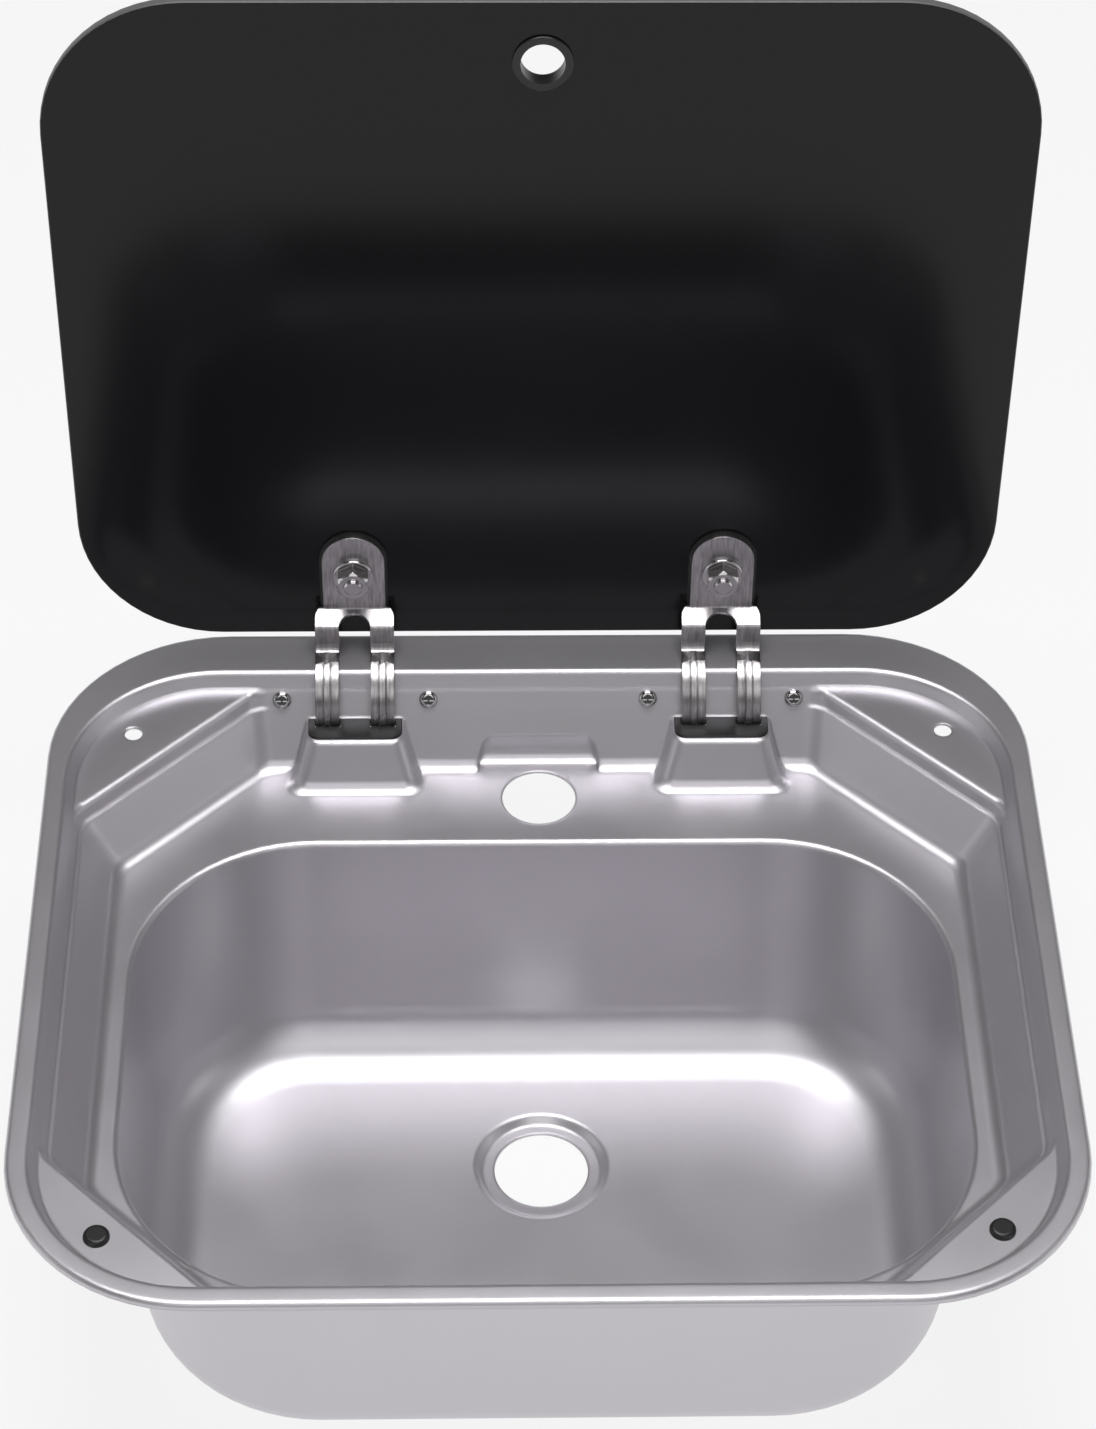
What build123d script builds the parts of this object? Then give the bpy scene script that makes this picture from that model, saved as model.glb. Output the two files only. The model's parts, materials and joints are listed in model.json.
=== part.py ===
from build123d import *
import math
import os

# Drop-in sink for a caravan or motorhome, with a folding glass lid that closes flush with the rim.
# X runs along the width, Y from the user towards the lid, Z up. Millimetres and degrees.
# The pieces are drawn with the rim's top face at height zero, so a depth is measured down from
# there. save() then raises them by the height of the rim, which sets the worktop's surface at zero.

# Rim
RIM_WIDTH = 420.0
RIM_DEPTH = 370.0
RIM_CORNER = 75.0
RIM_HEIGHT = 3.0
RIM_ROUND = 2.4
SHEET = 0.8

# Opening inside the rim, where the closed lid lies
SIDE_BAND = 9.0
FRONT_BAND = 9.5
REAR_BAND = 25.0
FRONT_OPENING_CORNER = 66.0
REAR_OPENING_CORNER = 62.0
OPENING_ROUND = 2.2

# Walls and levels of the recess, from the rim's top face down
LAND_DEPTH = 7.0
LAND_RUN = 3.2
LAND_EDGE_BREAK = 1.4
STEP_DEPTH = 14.0
STEP_RUN = 2.2
STEP_WIDTH = 1.8
LEDGE_DEPTH = 37.0
SIDE_RUN = 16.5
REAR_RUN = 19.5
FRONT_RUN = 16.5
FRONT_LAND_CUT = 68.6
REAR_LAND_CUT = 74.5
FRONT_FOOT_CUT = 54.0
REAR_FOOT_CUT = 61.0
FOLD_ROUND = 12.0
FOOT_ROUND = 4.0

# Bowl
BOWL_FRONT_LEDGE = 5.0
BOWL_SIDE_LEDGE = 9.9
BOWL_REAR_LEDGE = 46.1
BOWL_FRONT_CORNER = 80.0
BOWL_REAR_CORNER = 75.0
BOWL_SIDE_DRAFT = 4.0
BOWL_FRONT_DRAFT = 3.0
BOWL_REAR_DRAFT = 13.0
BOWL_EDGE_ROUND = 4.0
BOWL_FLOOR_ROUND = 26.0
OVERALL_DEPTH = 145.0

# Drain recess and drain hole
DRAIN_FROM_BOWL_REAR = 93.7
DRAIN_RECESS_RADIUS = 29.0
DRAIN_SEAT_RADIUS = 25.5
DRAIN_RECESS_DEPTH = 3.2
DRAIN_HOLE_RADIUS = 20.3

# Tap hole and the shallow niche behind it
TAP_FROM_RIM_REAR = 66.0
TAP_HOLE_RADIUS = 16.0
NICHE_WIDTH = 53.0
NICHE_SETBACK = 8.0
NICHE_HEIGHT = 18.0
NICHE_ROUND = 3.0
NICHE_DRAFT = 1.0

# Holes in the corner lands
LAND_HOLE_FROM_RIM_SIDE = 35.0
LAND_HOLE_FROM_RIM_REAR = 56.0
LAND_HOLE_RADIUS = 3.8
BUMPER_FROM_RIM_SIDE = 37.5
BUMPER_FROM_RIM_FRONT = 38.5

# Lid
LID_SIDE_GAP = 3.6
LID_FRONT_GAP = 7.9
LID_CORNER = 59.5
LID_THICKNESS = 4.5
LID_EDGE_ROUND = 0.9
LID_REAR_GAP = 15.6
FINGER_HOLE_INSET = 26.5
FINGER_HOLE_RADIUS = 10.4
FINGER_RADIUS = 8.75
GROMMET_FLANGE_RADIUS = 12.0
GROMMET_FLANGE = 1.4
GROMMET_ROUND = 0.6
LID_BOLT_INSET = 34.0
LID_BOLT_HOLE_RADIUS = 6.0

# Lid hinges
HINGE_X = 80.0
ARM_FROM_RIM_REAR = 40.5
PIVOT_DEPTH = 18.5
OPEN_ANGLE = 92.8
PAD_THICKNESS = 1.0
PAD_MARGIN = 1.2
STRIP = 2.0
BEND_INSIDE = 1.0
BEND_OUTSIDE = 2.6
PLATE_WIDTH = 27.0
PLATE_LENGTH = 38.6
SHELF_WIDTH = 34.4
SHELF_FROM_ARM = 16.1
SHELF_RUN = 4.4
SHELF_CORNER = 6.0
ARM_GAP = 13.8
ARM_RADIUS = 22.5
ARM_START_ANGLE = 180.0
ARM_END_ANGLE = 292.0
ARM_LINK = 4.0
RIB_WIDTH = 2.6
RIB_HEIGHT = 0.6
HUB_RADIUS = 5.2
PIN_RADIUS = 2.5
PIN_FIT = 0.05

# Boss and slot plate of each hinge
BOSS_DEPTH = 18.0
BOSS_TOP_WIDTH = 42.0
BOSS_FOOT_WIDTH = 54.0
BOSS_TOP_REACH = 25.5
BOSS_FOOT_REACH = 36.0
BOSS_ROUND = 2.4
BOSS_FOOT_ROUND = 5.0
BOSS_CORNER = 6.0
SLOT_PLATE_WIDTH = 41.0
SLOT_PLATE_FROM_ARM = 8.1
SLOT_PLATE_DEPTH = 12.6
SLOT_PLATE_THICKNESS = 1.0
SLOT_PLATE_ROUND = 4.5
SLOT_PLATE_BREAK = 0.4
SPIGOT_WIDTH = 37.0
SPIGOT_FROM_ARM = 3.3
SPIGOT_THICKNESS = 7.0
SPIGOT_DEPTH = 2.2
SLOT_CLEARANCE = 0.5
DROP_CLEARANCE = 0.8

# Housing behind the wall
CHEEK = 1.5
CHEEK_CLEARANCE = 1.0
CHEEK_TOP_DEPTH = 8.0
CHEEK_HEIGHT = 20.0
CHEEK_BEHIND_PIVOT = 7.5
CHEEK_SETBACK = 2.0
EAR_WIDTH = 12.0
EAR_HEIGHT = 11.0
STOP_RADIUS = 1.5
STOP_REACH = 9.5
RING_RADIUS = 4.6
RING_THICKNESS = 0.8
GROOVE_RADIUS = 2.0

# Fasteners
SCREW_SPACING = 64.0
SCREW_DEPTH = 11.0
SCREW_RADIUS = 2.0
SCREW_LENGTH = 9.0
SCREW_HEAD_RADIUS = 4.1
SCREW_HEAD_HEIGHT = 2.7
SCREW_HEAD_ROUND = 2.1
CROSS_LENGTH = 4.6
CROSS_WIDTH = 0.8
CROSS_DEPTH = 1.3
SCREW_NUT_FLATS = 7.0
SCREW_NUT_HEIGHT = 3.2
BOLT_RADIUS = 4.0
BOLT_HEAD_RADIUS = 11.0
BOLT_HEAD_HEIGHT = 2.0
BOLT_HEAD_ROUND = 1.2
BOLT_END = 1.5
WASHER_RADIUS = 10.0
WASHER_THICKNESS = 0.8
FLANGE_NUT_RADIUS = 8.9
FLANGE_NUT_FLANGE = 1.6
FLANGE_NUT_HEIGHT = 8.0
FLANGE_NUT_FLATS = 13.0
FLANGE_NUT_TOP_RADIUS = 6.2
FLANGE_NUT_ROUND = 0.8
HOLE_CLEARANCE = 0.2
CUT_LENGTH = 12.0

# Soft parts
SEAL_WIDTH = 4.4
SEAL_THICKNESS = 2.5
BUMPER_RADIUS = 5.15
BUMPER_ROUND = 1.8
BUMPER_STEM_RADIUS = 2.4
BUMPER_STEM_LENGTH = 4.0
BUMPER_TIP_RADIUS = 1.4
BUMPER_BARB_RADIUS = 3.3
LANDING_CLEARANCE = 0.2

# Worked out from the sizes above
opening_half = RIM_WIDTH / 2 - SIDE_BAND
opening_front = -RIM_DEPTH / 2 + FRONT_BAND
opening_rear = RIM_DEPTH / 2 - REAR_BAND
floor_depth = OVERALL_DEPTH - SHEET - DRAIN_RECESS_DEPTH
land_front = opening_front + LAND_RUN
land_rear = opening_rear - LAND_RUN
wall_height = LEDGE_DEPTH - LAND_DEPTH
wall_draft = math.degrees(math.atan(REAR_RUN / wall_height))
foot_front = land_front + FRONT_RUN
foot_rear = land_rear - REAR_RUN
bowl_half = opening_half - LAND_RUN - SIDE_RUN - BOWL_SIDE_LEDGE
bowl_front = foot_front + BOWL_FRONT_LEDGE
bowl_rear = foot_rear - BOWL_REAR_LEDGE
drain_y = bowl_rear - DRAIN_FROM_BOWL_REAR
tap_y = RIM_DEPTH / 2 - TAP_FROM_RIM_REAR
land_hole_x = RIM_WIDTH / 2 - LAND_HOLE_FROM_RIM_SIDE
land_hole_y = RIM_DEPTH / 2 - LAND_HOLE_FROM_RIM_REAR
bumper_x = RIM_WIDTH / 2 - BUMPER_FROM_RIM_SIDE
bumper_y = BUMPER_FROM_RIM_FRONT - RIM_DEPTH / 2
lid_half = opening_half - LID_SIDE_GAP
lid_front = opening_front + LID_FRONT_GAP
lid_rear = opening_rear - LID_REAR_GAP
arm_y = RIM_DEPTH / 2 - ARM_FROM_RIM_REAR
pivot_y = arm_y + ARM_RADIUS
shelf_y = arm_y - SHELF_FROM_ARM
boss_top_y = opening_rear - BOSS_TOP_REACH
boss_foot_y = opening_rear - BOSS_FOOT_REACH
slot_plate_front = arm_y - SLOT_PLATE_FROM_ARM
slot_plate_rear = slot_plate_front + SLOT_PLATE_DEPTH
spigot_front = arm_y - SPIGOT_FROM_ARM
spigot_rear = spigot_front + SPIGOT_THICKNESS
cheek_rear_y = pivot_y + CHEEK_BEHIND_PIVOT
pad_depth = LID_THICKNESS + PAD_THICKNESS
plate_depth = pad_depth + STRIP
drop_depth = BOSS_DEPTH - SLOT_PLATE_THICKNESS - DROP_CLEARANCE
arm_width = (SHELF_WIDTH - ARM_GAP) / 2
arm_centre = (SHELF_WIDTH + ARM_GAP) / 4
cheek_centre = SHELF_WIDTH / 2 + CHEEK_CLEARANCE + CHEEK / 2
link_angle = ARM_END_ANGLE - math.degrees(math.asin(ARM_LINK / 2 / ARM_RADIUS))
stop_angle = math.radians(link_angle - OPEN_ANGLE)
stop_side = ARM_LINK / 2 + STOP_RADIUS + LANDING_CLEARANCE
stop = (
    pivot_y + STOP_REACH * math.cos(stop_angle) + stop_side * math.sin(stop_angle),
    -PIVOT_DEPTH + STOP_REACH * math.sin(stop_angle) - stop_side * math.cos(stop_angle),
)
pivot = Vector(0, pivot_y, -PIVOT_DEPTH)
open_lid = Pos(pivot) * Rot(-OPEN_ANGLE, 0, 0) * Pos(-pivot)


def save(name, shape):
    """Write one sub-part, raised so that the worktop's surface is at zero."""
    shape = Pos(0, 0, RIM_HEIGHT) * shape
    shape.label = name
    export_step(shape, os.path.join("parts", name + ".step"))


def rounded(half_width, front, rear, front_corner, rear_corner):
    """Rectangle whose front and rear corners have their own radii."""
    sketch = Pos(0, (front + rear) / 2) * Rectangle(2 * half_width, rear - front)
    sketch = fillet(sketch.vertices().group_by(Axis.Y)[0], front_corner)
    return fillet(sketch.vertices().group_by(Axis.Y)[-1], rear_corner)


def cut_cornered(half_width, front, rear, front_cut, rear_cut):
    """Rectangle with its corners cut off at 45 degrees and its folds rounded."""
    right = [
        (half_width - front_cut, front),
        (half_width, front + front_cut),
        (half_width, rear - rear_cut),
        (half_width - rear_cut, rear),
    ]
    left = [(-x, y) for x, y in reversed(right)]
    sketch = make_face(Polyline(*right, *left, close=True))
    return fillet(sketch.vertices(), FOLD_ROUND)


def tapered(top, top_depth, bottom, bottom_depth):
    """Solid between two outlines at two depths."""
    return loft([Pos(0, 0, -top_depth) * top, Pos(0, 0, -bottom_depth) * bottom], ruled=True)


def mix(start, end, share):
    return start + (end - start) * share


def underside_of(shape, depth):
    """The widest level face that a solid has at a depth."""
    faces = shape.faces().filter_by(Axis.Z).filter_by_position(Axis.Z, -depth - 0.01, -depth + 0.01)
    return faces.sort_by(SortBy.AREA)[-1]


def recess(grow):
    """Space above the rim and inside the recess, or the same space with the sheet added to it."""
    slope = math.atan(SIDE_RUN / wall_height)
    wider = grow * (1 - math.sin(slope)) / math.cos(slope)

    # From the rim down to the corner lands
    half = opening_half + wider
    front = opening_front - wider
    rear = opening_rear + wider
    top = rounded(
        half, front, rear, FRONT_OPENING_CORNER + wider, REAR_OPENING_CORNER + wider
    )
    half = half - LAND_RUN
    front = front + LAND_RUN
    rear = rear - LAND_RUN
    land = rounded(
        half, front, rear,
        FRONT_OPENING_CORNER - LAND_RUN + wider, REAR_OPENING_CORNER - LAND_RUN + wider,
    )
    above = Pos(0, 0, -grow) * extrude(offset(top, RIM_ROUND), RIM_HEIGHT + grow)
    upper = above + tapered(top, grow, land, LAND_DEPTH + grow)
    mouth = underside_of(upper, grow).inner_wires()[0]
    upper = fillet(mouth.edges(), OPENING_ROUND - grow)

    # Between the corner lands, with a narrow step along the side walls, down to the ledge
    share = (STEP_DEPTH - LAND_DEPTH) / wall_height
    edge_share = LAND_EDGE_BREAK / wall_height
    front_cut = mix(FRONT_LAND_CUT, FRONT_FOOT_CUT, edge_share)
    rear_cut = mix(REAR_LAND_CUT, REAR_FOOT_CUT, edge_share)
    at_land = cut_cornered(
        half, front, rear, FRONT_LAND_CUT - 2 * LAND_EDGE_BREAK, REAR_LAND_CUT - 2 * LAND_EDGE_BREAK
    )
    at_break = cut_cornered(
        half - STEP_RUN * LAND_EDGE_BREAK / (STEP_DEPTH - LAND_DEPTH),
        front + FRONT_RUN * edge_share, rear - REAR_RUN * edge_share, front_cut, rear_cut,
    )
    step = (
        front + FRONT_RUN * share, rear - REAR_RUN * share,
        mix(FRONT_LAND_CUT, FRONT_FOOT_CUT, share), mix(REAR_LAND_CUT, REAR_FOOT_CUT, share),
    )
    at_step = cut_cornered(half - STEP_RUN, *step)
    under_step = cut_cornered(half - STEP_RUN - STEP_WIDTH, *step)
    foot = cut_cornered(
        half - SIDE_RUN, front + FRONT_RUN, rear - REAR_RUN, FRONT_FOOT_CUT, REAR_FOOT_CUT
    )
    edge = tapered(at_land, LAND_DEPTH + grow, at_break, LAND_DEPTH + LAND_EDGE_BREAK + grow)
    middle = tapered(at_break, LAND_DEPTH + LAND_EDGE_BREAK + grow, at_step, STEP_DEPTH + grow)
    lower = tapered(under_step, STEP_DEPTH + grow, foot, LEDGE_DEPTH + grow)
    lower = fillet(lower.edges().group_by(Axis.Z)[0], FOOT_ROUND + grow)
    return upper + edge + middle + lower


def niche(grow):
    """Shallow space behind the tap, let into the rear wall."""
    setback = foot_rear + NICHE_SETBACK + grow
    foot = Pos(0, setback / 2) * RectangleRounded(NICHE_WIDTH + 2 * grow, setback, NICHE_ROUND)
    body = Pos(0, 0, -LEDGE_DEPTH - grow) * extrude(foot, NICHE_HEIGHT, taper=NICHE_DRAFT)
    return fillet(body.edges().group_by(Axis.Z)[0], NICHE_ROUND + grow)


def hinge_boss(grow):
    """Raised block of sheet under one slot plate, its sides sloping down to the ledge."""
    deeper = 2 * SHEET
    steep = (LEDGE_DEPTH + deeper - BOSS_DEPTH) / (LEDGE_DEPTH - BOSS_DEPTH)
    foot_width = BOSS_TOP_WIDTH + (BOSS_FOOT_WIDTH - BOSS_TOP_WIDTH) * steep - 2 * grow
    foot_y = boss_top_y + (boss_foot_y - boss_top_y) * steep + grow
    top = Pos(HINGE_X, (boss_top_y + grow + opening_rear) / 2) * RectangleRounded(
        BOSS_TOP_WIDTH - 2 * grow, opening_rear - boss_top_y - grow, BOSS_CORNER
    )
    foot = Pos(HINGE_X, (foot_y + opening_rear) / 2) * RectangleRounded(
        foot_width, opening_rear - foot_y, BOSS_CORNER
    )
    block = tapered(top, BOSS_DEPTH + grow, foot, LEDGE_DEPTH + deeper + grow)
    block = fillet(block.edges().group_by(Axis.Z)[-1], BOSS_ROUND - grow)

    # The block swells out where it meets the ledge, so it stands on a slab below the ledge's face
    margin = 2 * BOSS_FOOT_ROUND
    slab = Pos(HINGE_X, (boss_foot_y + opening_rear) / 2, -LEDGE_DEPTH - grow) * Box(
        BOSS_FOOT_WIDTH + 2 * margin, opening_rear - boss_foot_y + 2 * margin, deeper,
        align=(Align.CENTER, Align.CENTER, Align.MAX),
    )
    block = block + slab
    foot_edges = underside_of(block, LEDGE_DEPTH + grow).inner_wires()[0].edges()
    return fillet(foot_edges, BOSS_FOOT_ROUND + grow)


def bowl(grow):
    """Space inside the bowl with its drain recess."""
    half = bowl_half + grow
    front = bowl_front - grow
    rear = bowl_rear + grow
    deep = floor_depth - LEDGE_DEPTH
    side_run = deep * math.tan(math.radians(BOWL_SIDE_DRAFT))
    front_run = deep * math.tan(math.radians(BOWL_FRONT_DRAFT))
    rear_run = deep * math.tan(math.radians(BOWL_REAR_DRAFT))
    top = rounded(half, front, rear, BOWL_FRONT_CORNER + grow, BOWL_REAR_CORNER + grow)
    floor = rounded(
        half - side_run, front + front_run, rear - rear_run,
        BOWL_FRONT_CORNER - side_run + grow, BOWL_REAR_CORNER - side_run + grow,
    )
    body = tapered(top, LEDGE_DEPTH, floor, floor_depth + grow)
    body = fillet(body.edges().group_by(Axis.Z)[0], BOWL_FLOOR_ROUND + grow)
    drain = Pos(0, drain_y, -floor_depth - DRAIN_RECESS_DEPTH / 2 - grow) * Cone(
        DRAIN_SEAT_RADIUS + grow, DRAIN_RECESS_RADIUS + grow, DRAIN_RECESS_DEPTH
    )
    return body + drain


def inside(grow):
    """All the space above the sheet, or the same space with the sheet added to it."""
    space = recess(grow) + bowl(grow)
    brink = underside_of(space, LEDGE_DEPTH + grow).inner_wires()[0]
    space = fillet(brink.edges(), BOWL_EDGE_ROUND - grow)
    boss = hinge_boss(grow)
    return space + niche(grow) - boss - mirror(boss, Plane.YZ)


def wall_place(x, depth):
    """Plane on the rear wall at a screw, its Z pointing into the recess."""
    y = land_rear - (depth - LAND_DEPTH) * REAR_RUN / wall_height
    lean = math.radians(wall_draft)
    normal = (0, -math.cos(lean), math.sin(lean))
    return Plane(origin=(x, y, -depth), x_dir=(1, 0, 0), z_dir=normal)


def both_sides(name, shape):
    """The right piece and its mirror image on the left."""
    save(name + "_right", shape)
    save(name + "_left", mirror(shape, Plane.YZ))


def hole(x, y, radius):
    return Pos(x, y, -LEDGE_DEPTH) * Cylinder(radius, 3 * LEDGE_DEPTH)


def across(face, x, width):
    """Solid of a face drawn in the Y-Z plane, centred on x."""
    return Pos(x - width / 2, 0, 0) * extrude(Plane.YZ * face, width)


def axle(x, radius, width, y=pivot_y, z=-PIVOT_DEPTH):
    """Cylinder lying along X."""
    return Pos(x, y, z) * Rot(0, 90, 0) * Cylinder(radius, width)


# Sink pressing: one sheet with the rim, the recess for the lid, the ledge and the bowl
def sink_pressing():
    outer = rounded(RIM_WIDTH / 2, -RIM_DEPTH / 2, RIM_DEPTH / 2, RIM_CORNER, RIM_CORNER)
    rim = Pos(0, 0, -RIM_HEIGHT) * extrude(outer, RIM_HEIGHT)
    rim = fillet(rim.edges().group_by(Axis.Z)[-1], RIM_ROUND)
    under = Pos(0, 0, -RIM_HEIGHT) * extrude(offset(outer, -SHEET), RIM_HEIGHT - SHEET)
    under = fillet(under.edges().group_by(Axis.Z)[-1], RIM_ROUND - SHEET)
    sheet = (rim - under) + (inside(SHEET) & Pos(0, 0, -OVERALL_DEPTH) * extrude(outer, OVERALL_DEPTH))
    sheet = sheet - inside(0)
    sheet = sheet - Pos(0, drain_y, -OVERALL_DEPTH) * Cylinder(DRAIN_HOLE_RADIUS, CUT_LENGTH)
    sheet = sheet - hole(0, tap_y, TAP_HOLE_RADIUS)
    spigot_y = (spigot_front + spigot_rear) / 2
    opening = Box(
        SPIGOT_WIDTH + 2 * HOLE_CLEARANCE, spigot_rear - spigot_front + 2 * HOLE_CLEARANCE, 3 * SHEET
    )
    for side in (-1, 1):
        sheet = sheet - hole(side * land_hole_x, land_hole_y, LAND_HOLE_RADIUS)
        sheet = sheet - hole(side * bumper_x, bumper_y, BUMPER_STEM_RADIUS + HOLE_CLEARANCE)
        sheet = sheet - Pos(side * HINGE_X, spigot_y, -BOSS_DEPTH) * opening
        for screw in (-1, 1):
            place = wall_place(side * HINGE_X + screw * SCREW_SPACING / 2, SCREW_DEPTH)
            sheet = sheet - place * Cylinder(SCREW_RADIUS + HOLE_CLEARANCE, CUT_LENGTH)
    return sheet


# Rim seal: foam band stuck under the rim, inside its turned-down edge
def rim_seal():
    inset = RIM_ROUND
    outer_half = RIM_WIDTH / 2 - inset
    outer_end = RIM_DEPTH / 2 - inset
    corner = RIM_CORNER - inset
    outer = rounded(outer_half, -outer_end, outer_end, corner, corner)
    band = outer - offset(outer, -SEAL_WIDTH)
    return Pos(0, 0, -SHEET - SEAL_THICKNESS) * extrude(band, SEAL_THICKNESS)


# Front bumper: rubber dome that the closed lid lies on, its stem pulled through the land
def bumper():
    height = LAND_DEPTH - LID_THICKNESS - LANDING_CLEARANCE
    dome = Cylinder(BUMPER_RADIUS, height, align=(Align.CENTER, Align.CENTER, Align.MIN))
    dome = fillet(dome.edges().group_by(Axis.Z)[-1], BUMPER_ROUND)
    stem = Pos(0, 0, -BUMPER_STEM_LENGTH) * Cylinder(
        BUMPER_STEM_RADIUS, BUMPER_STEM_LENGTH, align=(Align.CENTER, Align.CENTER, Align.MIN)
    )
    barb_height = BUMPER_STEM_LENGTH - SHEET - HOLE_CLEARANCE
    barb = Pos(0, 0, -BUMPER_STEM_LENGTH) * Cone(
        BUMPER_TIP_RADIUS, BUMPER_BARB_RADIUS, barb_height,
        align=(Align.CENTER, Align.CENTER, Align.MIN),
    )
    return Pos(bumper_x, bumper_y, -LAND_DEPTH) * (dome + stem + barb)


# Glass lid, drawn closed and then turned about the hinge pins to where it stands open
def glass_lid():
    outline = rounded(lid_half, lid_front, lid_rear, LID_CORNER, LID_CORNER)
    glass = Pos(0, 0, -LID_THICKNESS) * extrude(outline, LID_THICKNESS)
    glass = chamfer(glass.edges().group_by(Axis.Z)[-1] + glass.edges().group_by(Axis.Z)[0], LID_EDGE_ROUND)
    glass = glass - hole(0, lid_front + FINGER_HOLE_INSET, FINGER_HOLE_RADIUS)
    for side in (-1, 1):
        glass = glass - hole(side * HINGE_X, lid_rear - LID_BOLT_INSET, LID_BOLT_HOLE_RADIUS)
    return glass


# Grommet: ring in the finger hole with a flange on each face of the glass
def finger_grommet():
    flange = Cylinder(GROMMET_FLANGE_RADIUS, GROMMET_FLANGE)
    flange = fillet(flange.edges(), GROMMET_ROUND)
    tube = Cylinder(FINGER_HOLE_RADIUS - HOLE_CLEARANCE / 2, LID_THICKNESS + GROMMET_FLANGE)
    step = (LID_THICKNESS + GROMMET_FLANGE) / 2
    ring = tube + Pos(0, 0, step) * flange + Pos(0, 0, -step) * flange
    ring = ring - Cylinder(FINGER_RADIUS, CUT_LENGTH)
    return Pos(0, lid_front + FINGER_HOLE_INSET, -LID_THICKNESS / 2) * ring


def plate_outline(margin):
    """Bracket plate on the glass: straight sides and a round end."""
    half = PLATE_WIDTH / 2 + margin
    front = shelf_y - PLATE_LENGTH - margin
    rear = shelf_y + margin
    block = Pos(HINGE_X, (front + half + rear) / 2) * Rectangle(2 * half, rear - front - half)
    return block + Pos(HINGE_X, front + half) * Circle(half)


def bracket_strip():
    """Edge-on outline of the bent strip: end of the plate, shelf, drop and start of the arms."""
    slope = SHELF_RUN / (drop_depth - plate_depth)
    back = shelf_y + STRIP * math.hypot(1, slope)
    outer = pivot_y - ARM_RADIUS
    inner = outer + STRIP
    bend = (shelf_y, -plate_depth)
    brow = (shelf_y + SHELF_RUN, -drop_depth)
    neck = (outer, -drop_depth)
    inner_neck = (inner, -drop_depth + STRIP)
    inner_brow = (back + SHELF_RUN - STRIP * slope, -drop_depth + STRIP)
    inner_bend = (back - STRIP * slope, -pad_depth)
    face = make_face(Polyline(
        (shelf_y - 2 * STRIP, -plate_depth), bend, brow, neck, (outer, -PIVOT_DEPTH),
        (inner, -PIVOT_DEPTH), inner_neck, inner_brow, inner_bend, (shelf_y - 2 * STRIP, -pad_depth),
        close=True,
    ))
    for corner in (bend, neck, inner_brow):
        face = fillet(face.vertices().sort_by_distance((*corner, 0))[0], BEND_INSIDE)
    for corner in (brow, inner_neck, inner_bend):
        face = fillet(face.vertices().sort_by_distance((*corner, 0))[0], BEND_OUTSIDE)
    return face


def arm_sector(inner, outer, end):
    """Ring sector about the hinge pin, from level with the pin to the end of the arm."""
    centre = (pivot_y, -PIVOT_DEPTH)
    turn = end - ARM_START_ANGLE
    far = CenterArc(centre, outer, ARM_START_ANGLE, turn)
    near = CenterArc(centre, inner, ARM_START_ANGLE, turn)
    return make_face([far, near, Line(far @ 0, near @ 0), Line(far @ 1, near @ 1)])


# Hinge bracket: plate on the glass, sloping shelf, and two ribbed arms curved about the pin
def hinge_bracket():
    shelf = across(bracket_strip(), HINGE_X, SHELF_WIDTH)
    shoulders = Plane.XZ * Pos(HINGE_X, -pad_depth - PIVOT_DEPTH / 2) * RectangleRounded(
        SHELF_WIDTH, PIVOT_DEPTH, SHELF_CORNER
    )
    shelf = shelf & extrude(shoulders, -2 * pivot_y)
    inner = ARM_RADIUS - STRIP
    arms = across(arm_sector(inner, ARM_RADIUS, ARM_END_ANGLE), HINGE_X, SHELF_WIDTH)
    link = Pos(pivot_y, -PIVOT_DEPTH) * Rot(0, 0, link_angle) * Pos(inner / 2, 0) * Rectangle(
        inner + STRIP / 2, ARM_LINK
    )
    arms = arms + across(link, HINGE_X, SHELF_WIDTH) + axle(HINGE_X, HUB_RADIUS, SHELF_WIDTH)
    arms = arms - axle(HINGE_X, PIN_RADIUS + PIN_FIT, 2 * SHELF_WIDTH)
    arch_z = -drop_depth - STRIP / 2
    arch = Pos(HINGE_X, arch_z) * Circle(ARM_GAP / 2)
    arch = arch + Pos(HINGE_X, arch_z - PIVOT_DEPTH - ARM_RADIUS) * Rectangle(
        ARM_GAP, 2 * (PIVOT_DEPTH + ARM_RADIUS)
    )
    bracket = shelf + arms - extrude(Plane.XZ * arch, -2 * pivot_y)
    for side in (-1, 1):
        rib = arm_sector(ARM_RADIUS - STRIP / 2, ARM_RADIUS + RIB_HEIGHT, ARM_END_ANGLE)
        bracket = bracket + across(rib, HINGE_X + side * arm_centre, RIB_WIDTH)
    plate = Pos(0, 0, -plate_depth) * extrude(plate_outline(0), STRIP)
    bracket = bracket + plate
    return bracket - hole(HINGE_X, lid_rear - LID_BOLT_INSET, BOLT_RADIUS + HOLE_CLEARANCE)


# Bracket pad: rubber between bracket and glass, its collar lining the hole in the glass
def bracket_pad():
    pad = Pos(0, 0, -pad_depth) * extrude(plate_outline(PAD_MARGIN), PAD_THICKNESS)
    bolt = Pos(HINGE_X, lid_rear - LID_BOLT_INSET)
    collar_height = pad_depth - HOLE_CLEARANCE
    pad = pad + bolt * Pos(0, 0, -pad_depth) * Cylinder(
        LID_BOLT_HOLE_RADIUS - HOLE_CLEARANCE / 2, collar_height,
        align=(Align.CENTER, Align.CENTER, Align.MIN),
    )
    return pad - hole(HINGE_X, lid_rear - LID_BOLT_INSET, BOLT_RADIUS + HOLE_CLEARANCE / 2)


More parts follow.
